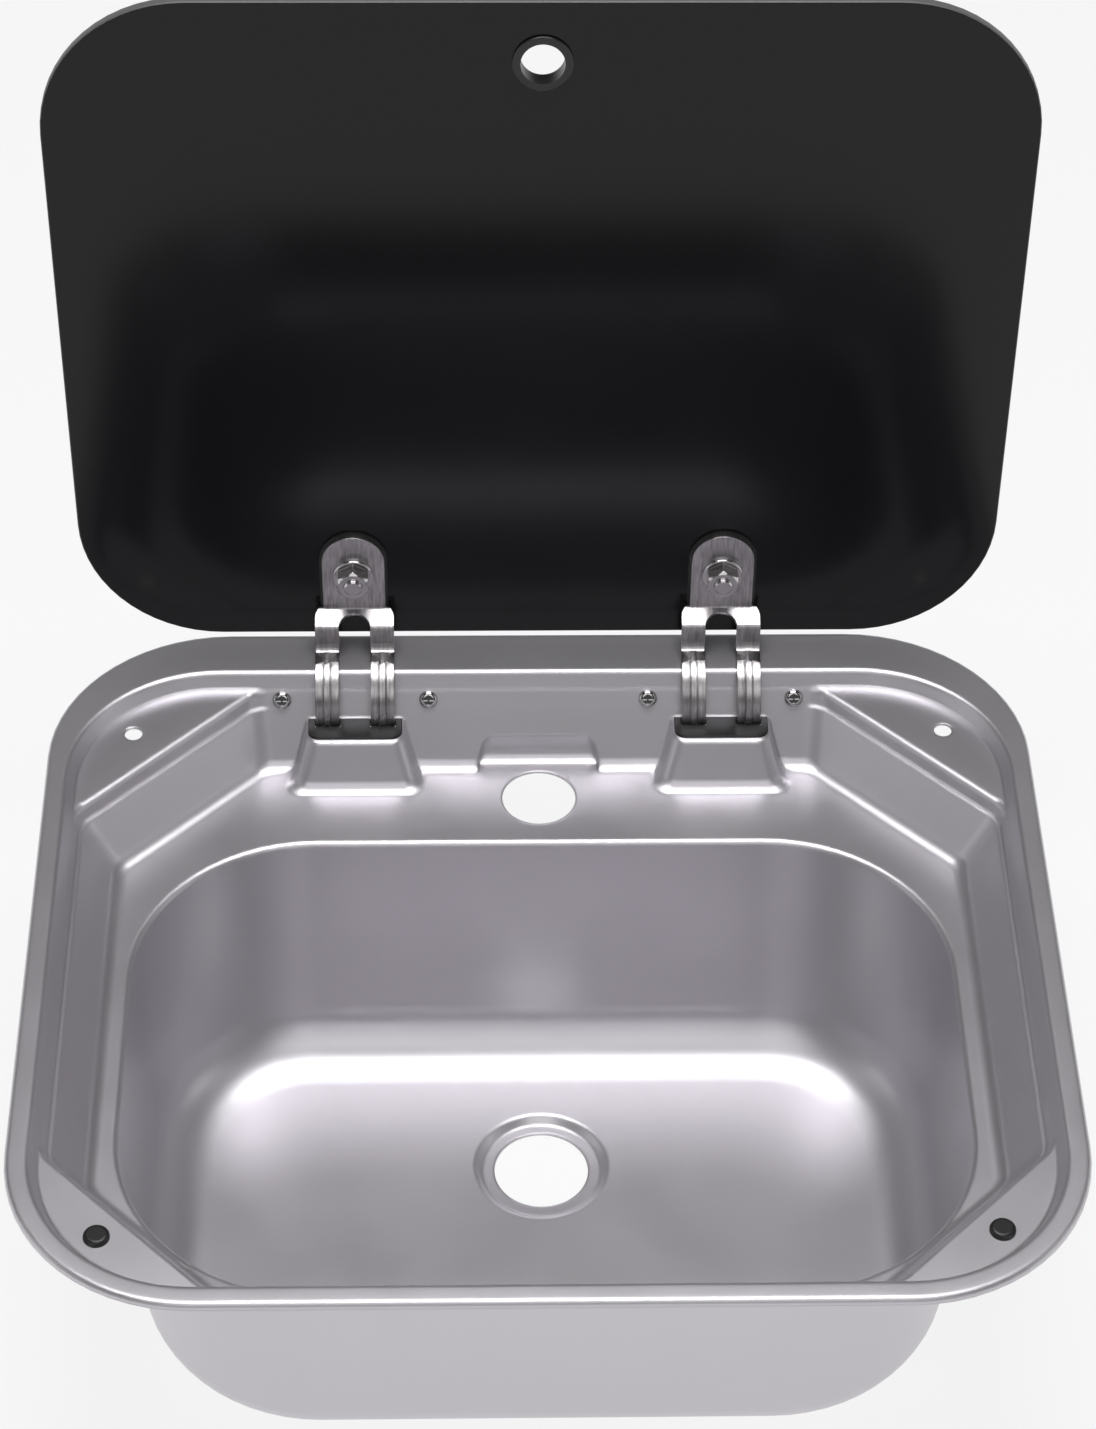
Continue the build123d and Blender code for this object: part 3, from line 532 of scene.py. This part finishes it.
# Only the skin below that space is the sheet: the rest goes, and what stays is turned over
punch_reach = punch_length / 2
margin = 0.3
behind_wall = 155.9
land_start = 160.0

work_on(pressing)
bpy.ops.object.mode_set(mode="EDIT")
bpy.ops.mesh.select_mode(type="VERT")
for spare in (
    lambda p: p.z > rim_top + margin or at(-hair, drain_end)(p),
    lambda p: at(ledge_level - punch_reach)(p) and p.y > bowl_flare[2],
    lambda p: at(land_level - punch_reach)(p) and abs(p.x) > land_start,
    lambda p: at(boss_top - punch_reach)(p) and p.y > opening_y - opening_depth / 2 - margin
    and abs(abs(p.x) - hinge_x) < opening_width / 2 + margin,
    lambda p: p.y > behind_wall and p.z < land_level - punch_reach
    and abs(abs(abs(p.x) - hinge_x) - screw_reach) < screw_radius + margin,
):
    pick(spare)
    bpy.ops.mesh.delete(type="VERT")
bpy.ops.mesh.select_all(action="SELECT")
bpy.ops.mesh.remove_doubles(threshold=touching)
bpy.ops.mesh.flip_normals()
bpy.ops.object.mode_set(mode="OBJECT")
thicken = pressing.modifiers.new("thicken", "SOLIDIFY")
thicken.thickness = sheet
thicken.offset = -1.0
bpy.ops.object.modifier_apply(modifier="thicken")

sheet_steel = satin_stainless(
    "sheet_steel", (0.62, 0.60, 0.635), roughness=0.35, grain=0.12, fold=0.002, metal=0.82
)
coat(pressing, sheet_steel)
finish_mesh(pressing, smooth_up_to=32, body="sink", node="sink_pressing")


# Rim seal: a band of black closed-cell foam glued under the rim, which the worktop squeezes when
# the sink is set in.
def dull_black(name, grey, roughness, grain_size, grain):
    """Black foam, rubber, plastic or ground glass with a fine grain, its size in millimetres."""
    black, tree, face, place = new_paint(name)
    cells = pattern(tree, "ShaderNodeTexNoise", place, {"Scale": 1000.0 / grain_size, "Detail": 3.0})
    spread(tree, cells.outputs["Fac"], grey * 0.7, grey * 1.4, face.inputs["Base Color"])
    spread(
        tree, cells.outputs["Fac"], roughness * 0.9, min(1.0, roughness * 1.15), face.inputs["Roughness"]
    )
    emboss(tree, cells.outputs["Fac"], face, strength=grain, depth=grain_size / 4000.0)
    return black


def dress(material, *names):
    """Give CAD nodes their finish."""
    for name in names:
        coat(frame["nodes"][name], material)


black_foam = dull_black("black_foam", grey=0.022, roughness=0.85, grain_size=0.9, grain=0.9)
dress(black_foam, "rim_seal")

# Front bumpers: two rubber domes pulled through the front lands, which the closed lid rests on.
# Moulded in one piece with a barbed stem.
black_rubber = dull_black("black_rubber", grey=0.010, roughness=0.38, grain_size=0.35, grain=0.25)
dress(black_rubber, "front_bumper_left", "front_bumper_right")


# Hinge housings: folded from zinc-plated steel and screwed behind the rear wall, with a spangled
# dull silver face.
def shade(tree, source, socket, dark, light, start=0.0, end=1.0):
    """Let a pattern colour a socket, from a dark to a light tone."""
    shades = add_node(tree, "ShaderNodeValToRGB")
    first, last = shades.color_ramp.elements
    first.position, last.position = start, end
    first.color, last.color = (*dark, 1), (*light, 1)
    tree.links.new(source, shades.inputs["Fac"])
    tree.links.new(shades.outputs["Color"], socket)


zinc_plate, tree, face, place = new_paint("zinc_plate", {"Metallic": 1.0})
spangle = pattern(tree, "ShaderNodeTexVoronoi", place, {"Scale": 420.0})
shade(
    tree, spangle.outputs["Color"], face.inputs["Base Color"],
    dark=(0.42, 0.44, 0.47), light=(0.60, 0.61, 0.63),
)
spread(tree, spangle.outputs["Distance"], low=0.34, high=0.48, socket=face.inputs["Roughness"])
dress(zinc_plate, "hinge_housing_left", "hinge_housing_right")

# Hinge pins with their retaining rings, and the stop rods: turned bright steel, held across the
# cheeks of each housing.
turned_steel = satin_stainless("turned_steel", (0.60, 0.59, 0.60), roughness=0.18, grain=0.03)
for side in ("left", "right"):
    dress(turned_steel, "hinge_pin_" + side, "retaining_rings_" + side, "stop_rod_" + side)

# Housing screws and their nuts: small pan-head screws with a cross recess in the rear wall,
# stamped and plated, so they are glossy and a little dark in the recess.
screw_steel = satin_stainless("screw_steel", (0.56, 0.55, 0.56), roughness=0.10, grain=0.02)
for side in ("left", "right"):
    dress(screw_steel, "housing_screws_" + side, "housing_nuts_" + side)

# Slot plates: glossy black moulded plastic on the bosses, a slot for each arm of the lid's
# brackets.
glossy_plastic = dull_black("glossy_plastic", grey=0.006, roughness=0.30, grain_size=0.5, grain=0.04)
dress(glossy_plastic, "slot_plate_left", "slot_plate_right")

# Glass lid: one sheet of tempered glass 4.5 mm thick, black right through to the eye, its edges
# ground round and dull. Modelled closed and then swung open about the hinge pins.
hinge = frame["joints"][0]
pivot_y, pivot_z = millimetres(hinge["pos_m"][1]), millimetres(hinge["pos_m"][2])
swing = math.radians(hinge["range_deg"][1])
glass = 4.5
lid_half = mouth[0] - 3.6
lid_front = mouth[1] + 7.9
lid_rear = mouth[2] - 15.6
lid_outline = (lid_half, lid_front, lid_rear, 59.5, 59.5)
edge_round = 0.9
finger_y, finger_radius = lid_front + 26.5, 10.4
bolt_y, bolt_radius = lid_rear - 34.0, 6.0
drill_length = 12.0
level_normal = 0.93

lid = layered("lid_sheet", ((lid_outline, rim_top), (lid_outline, rim_top - glass)))
round_edge(rim_top, reach=edge_round, segments=3)
round_edge(rim_top - glass, reach=edge_round, segments=3)
for x, y, radius in (
    (0.0, finger_y, finger_radius), (-hinge_x, bolt_y, bolt_radius), (hinge_x, bolt_y, bolt_radius),
):
    drill = rod("drill", (x, y, rim_top - glass / 2), radius, drill_length)
    combine(lid, drill, "DIFFERENCE")

black_glass, tree, face, place = new_paint("black_glass", {
    "Base Color": (0.0035, 0.0033, 0.0042, 1), "IOR": 1.5, "Specular IOR Level": 0.28,
})
haze = pattern(tree, "ShaderNodeTexNoise", place, {"Scale": 9.0})
spread(tree, haze.outputs["Fac"], low=0.12, high=0.15, socket=face.inputs["Roughness"])
ground_edge = dull_black("ground_edge", grey=0.10, roughness=0.45, grain_size=0.3, grain=0.2)
coat(lid, black_glass, ground_edge)
for polygon in lid.data.polygons:
    polygon.material_index = 0 if abs(polygon.normal.z) > level_normal else 1
work_on(lid)
bpy.ops.object.mode_set(mode="EDIT")
bpy.ops.mesh.select_all(action="SELECT")
bpy.ops.transform.rotate(value=swing, orient_axis="X", center_override=(0.0, pivot_y, pivot_z))
finish_mesh(lid, smooth_up_to=32, body="lid", node="glass_lid")

# Finger grommet: a ring of black plastic in the finger hole, which keeps a fingertip off the
# glass. Snapped in, with a flange on each face.
black_plastic = dull_black("black_plastic", grey=0.010, roughness=0.30, grain_size=0.4, grain=0.1)
dress(black_plastic, "finger_grommet")

# Hinge brackets: pressed from stainless strip 2 mm thick, a plate on the glass, a bright sloping
# shelf and two ribbed arms that curve about the pins. Rubbed bright and streaky by use.
bracket_steel, tree, face, place = new_paint("bracket_steel", {"Metallic": 1.0})
along = add_node(tree, "ShaderNodeMapping", {"Scale": (9.0, 1.0, 1.0)})
tree.links.new(place, along.inputs["Vector"])
streaks = pattern(
    tree, "ShaderNodeTexNoise", along.outputs["Vector"], {"Scale": 110.0, "Detail": 6.0}
)
shade(
    tree, streaks.outputs["Fac"], face.inputs["Base Color"],
    dark=(0.27, 0.26, 0.27), light=(0.52, 0.50, 0.51), start=0.3, end=0.7,
)
spread(tree, streaks.outputs["Fac"], low=0.24, high=0.38, socket=face.inputs["Roughness"])
emboss(tree, streaks.outputs["Fac"], face, strength=0.3, depth=0.0001, fold=0.0006)


def merged_copy(node):
    """The CAD node's own shape as a new piece in millimetres, its loose triangles merged."""
    piece = bpy.data.objects.new(node + "_pressed", frame["nodes"][node].data.copy())
    bpy.context.scene.collection.objects.link(piece)
    work_on(piece)
    millimetres_in_metre = 1000.0
    piece.scale = (millimetres_in_metre,) * 3
    bpy.ops.object.transform_apply(location=True, rotation=True, scale=True)
    bpy.ops.object.mode_set(mode="EDIT")
    bpy.ops.mesh.select_all(action="SELECT")
    bpy.ops.mesh.remove_doubles(threshold=touching)
    return piece


shear_reach, shear_y, shear_z = 16.0, 181.0, 25.6
shear_size = (5.0, 12.0, 6.0)
arch_middle, arch_radius, arch_length = (hinge_x, 171.2, 18.65), 6.9, 14.0
shelf_slope = math.radians(24)
arm_reach, arm_width, arm_radius = 12.05, 10.26, 22.5
bend_y, bend_z, bend_size, bend_radius = 169.4, 8.0, 3.6, 2.8
roller_length = 20.0
groove_reach, groove_radius = 1.55, 0.28
groove_back, groove_end = pivot_y - 4.0, pivot_z - 5.5
across = (0, math.radians(90), 0)

bracket = merged_copy("hinge_bracket_right")
# The shelf keeps its full width only below the bend
for x in (hinge_x - shear_reach, hinge_x + shear_reach):
    combine(bracket, block("shear", (x, shear_y, shear_z), shear_size), "DIFFERENCE")
# Arch punched square through the shelf
arch = rod("arch", arch_middle, arch_radius, arch_length, (shelf_slope, 0, 0))
combine(bracket, arch, "DIFFERENCE")
for x in (hinge_x - arm_reach, hinge_x + arm_reach):
    # The arm leaves the shelf's drop in a hollow bend
    hollow = block("hollow_bend", (x, bend_y, bend_z), (arm_width, bend_size, bend_size))
    bend_middle = (x, bend_y - bend_size / 2, bend_z + bend_size / 2)
    combine(hollow, rod("roller", bend_middle, bend_radius, roller_length, across), "DIFFERENCE")
    combine(bracket, hollow, "UNION")
    # Fine groove on each side of the rib, only in front of the pin
    for edge in (-groove_reach, groove_reach):
        groove = new_outlines("groove")
        bpy.ops.mesh.primitive_torus_add(
            major_radius=arm_radius, minor_radius=groove_radius, major_segments=120, minor_segments=8,
            location=(x + edge, pivot_y, pivot_z), rotation=across,
        )
        pick(lambda p: p.y > groove_back or p.z < groove_end)
        bpy.ops.mesh.delete(type="VERT")
        bpy.ops.mesh.select_all(action="SELECT")
        bpy.ops.mesh.fill_holes(sides=0)
        bpy.ops.mesh.normals_make_consistent(inside=False)
        combine(bracket, groove, "DIFFERENCE")


def twin(piece, name, shift):
    """The same piece again with its own mesh, moved sideways."""
    other = bpy.data.objects.new(name, piece.data.copy())
    bpy.context.scene.collection.objects.link(other)
    work_on(other)
    other.location = (shift, 0.0, 0.0)
    bpy.ops.object.transform_apply(location=True, rotation=True, scale=True)
    return other


other_bracket = twin(bracket, "hinge_bracket_left_pressed", -2 * hinge_x)
for piece, node in ((bracket, "hinge_bracket_right"), (other_bracket, "hinge_bracket_left")):
    coat(piece, bracket_steel)
    finish_mesh(piece, smooth_up_to=30, body="lid", node=node)

# Bracket pads: black rubber between each bracket and the glass, which spreads the clamping force.
# Each has a collar that keeps the bolt off the glass.
dress(black_rubber, "bracket_pad_left", "bracket_pad_right")

# Lid bolts with flange nuts: bright steel, the flat heads on nylon washers outside the glass and
# the nuts on the brackets inside.
nut_steel = satin_stainless("nut_steel", (0.58, 0.56, 0.57), roughness=0.14, grain=0.03, fold=0.0003)
clear_nylon, tree, face, place = new_paint("clear_nylon", {
    "Base Color": (0.78, 0.78, 0.75, 1), "Transmission Weight": 0.55, "IOR": 1.53,
})
mist = pattern(tree, "ShaderNodeTexNoise", place, {"Scale": 600.0})
spread(tree, mist.outputs["Fac"], low=0.28, high=0.42, socket=face.inputs["Roughness"])
for side in ("left", "right"):
    dress(nut_steel, "lid_bolt_" + side, "flange_nut_" + side)
    dress(clear_nylon, "bolt_washer_" + side)
